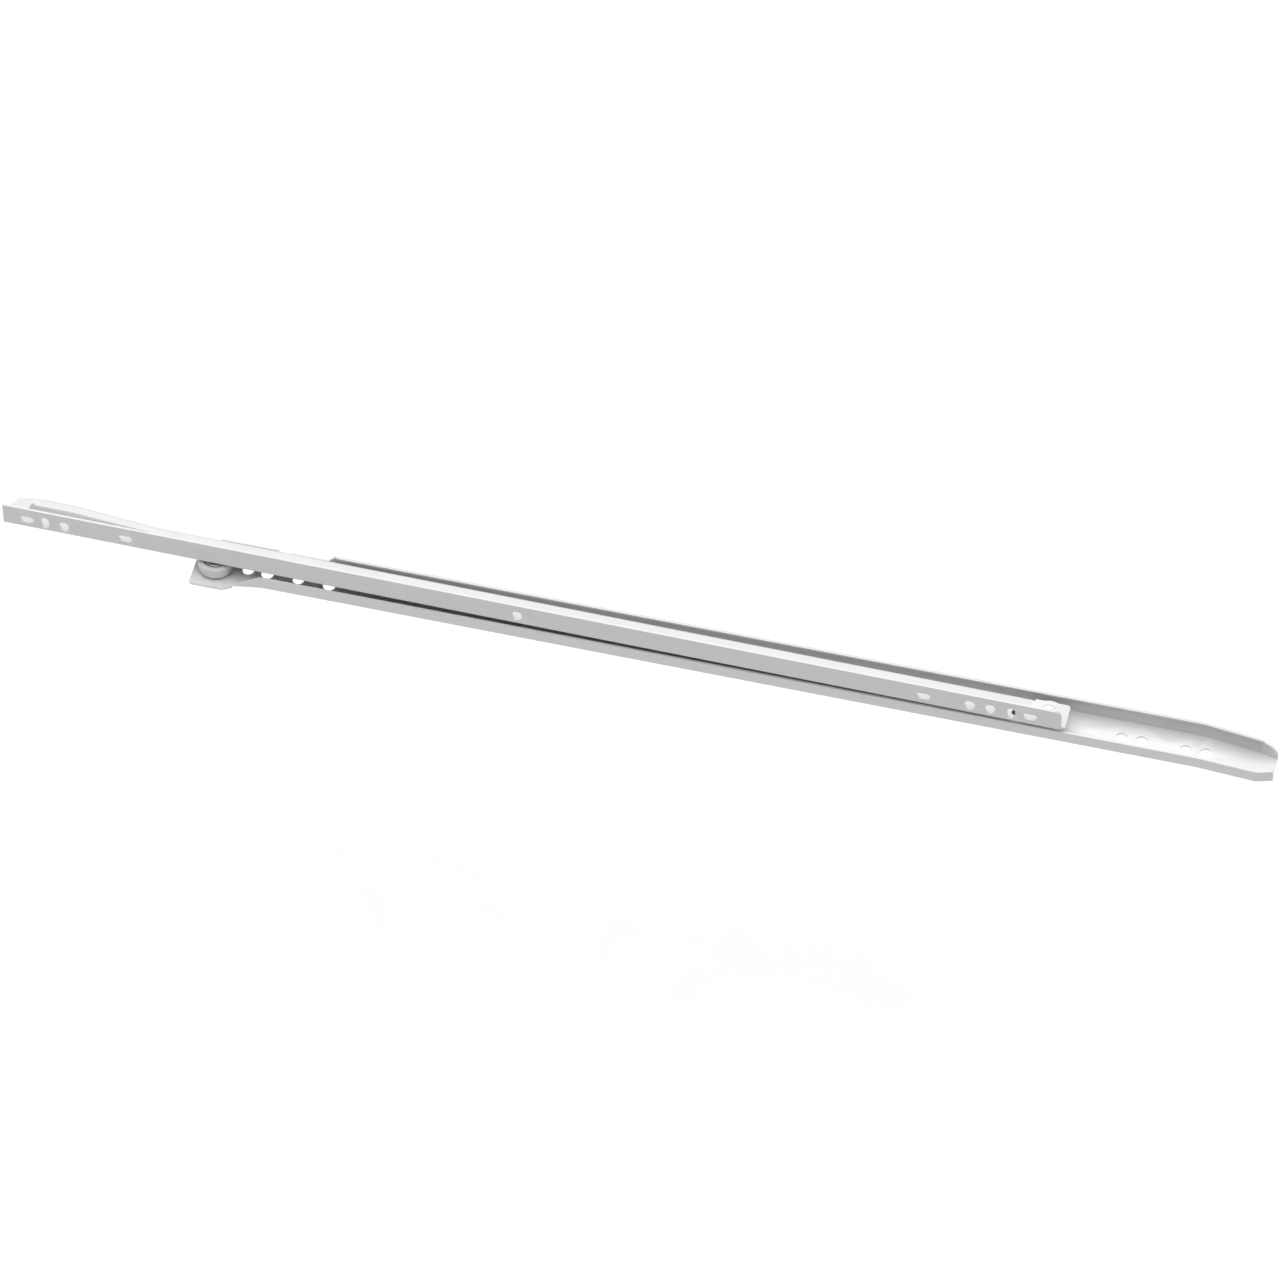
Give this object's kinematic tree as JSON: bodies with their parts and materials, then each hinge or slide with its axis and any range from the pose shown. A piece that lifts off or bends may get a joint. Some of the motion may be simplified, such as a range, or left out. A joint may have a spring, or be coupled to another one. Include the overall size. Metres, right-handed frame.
{
  "type": "drawer slide",
  "caption": "Bottom-mounted roller drawer slide: channel cabinet rail, stepped drawer rail, nylon rollers on riveted axles, drawn part-way out.",
  "frame": {"origin": "on the cabinet fixing face, at the front end of the cabinet rail and level with the outer face of its lower flange", "axes": "+X to the rear of the cabinet, +Y up in use, +Z from the cabinet wall towards the drawer; the fixing face is Z = 0"},
  "size_m": [0.648, 0.0284, 0.0241],
  "materials": {
    "coated_steel": "satin white epoxy powder coat",
    "nylon": "moulded white nylon, faintly grey",
    "plated_steel": "bright zinc plate"
  },
  "bodies": {
    "cabinet": {"cabinet_member": "coated_steel", "front_axle": "plated_steel", "front_washer": "plated_steel"},
    "drawer": {"drawer_member": "coated_steel", "rear_axle": "plated_steel", "rear_washer": "plated_steel"},
    "front_wheel": {"front_roller": "nylon"},
    "rear_wheel": {"rear_roller": "nylon"}
  },
  "joints": [
    {"name": "drawer_slide", "type": "slide", "parent": "cabinet", "child": "drawer", "axis": [-1, 0.007, 0], "range_m": [-0.098, 0.315]},
    {"name": "front_roller_spin", "type": "hinge", "parent": "cabinet", "child": "front_wheel", "pos_m": [0.0108, 0.0075, 0.0055], "axis": [0, 0, 1], "continuous": true},
    {"name": "rear_roller_spin", "type": "hinge", "parent": "drawer", "child": "rear_wheel", "pos_m": [0.43583, 0.00988, 0.0063], "axis": [0, 0, 1], "continuous": true}
  ],
  "couplings": [
    {"joint": "front_roller_spin", "follows": "drawer_slide", "rad_per_m": 112.36},
    {"joint": "rear_roller_spin", "follows": "drawer_slide", "rad_per_m": 125}
  ]
}
